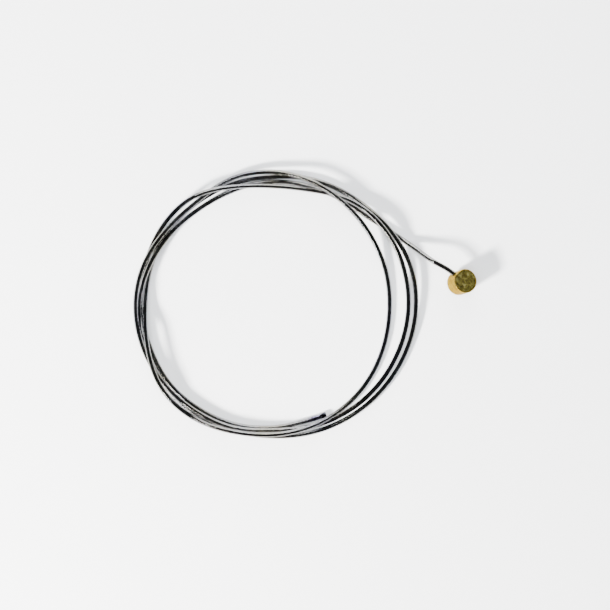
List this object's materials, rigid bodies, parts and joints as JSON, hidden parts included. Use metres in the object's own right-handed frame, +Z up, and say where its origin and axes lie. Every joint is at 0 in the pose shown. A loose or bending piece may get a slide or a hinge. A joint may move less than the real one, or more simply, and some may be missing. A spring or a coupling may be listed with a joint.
{
  "type": "bicycle brake inner cable",
  "caption": "Bright steel inner brake cable with a brass barrel nipple on one end, lying in a loose coil; it pulls a bicycle brake when its lever is squeezed.",
  "frame": {"origin": "middle of the cable's outline seen from above, on the surface that it lies on", "axes": "+Z up, away from the surface; +X across the coil, towards the nipple; +Y across the coil, square to X"},
  "size_m": [0.1069, 0.084, 0.0084],
  "materials": {
    "brass": "cast barrel with a finely pitted end face and a smooth, softly polished side",
    "stainless_steel": "bright drawn wires, polished; the free end is tinted dark blue-grey by heat"
  },
  "bodies": {
    "root": {"nipple": "brass", "strand": "stainless_steel"}
  },
  "joints": []
}
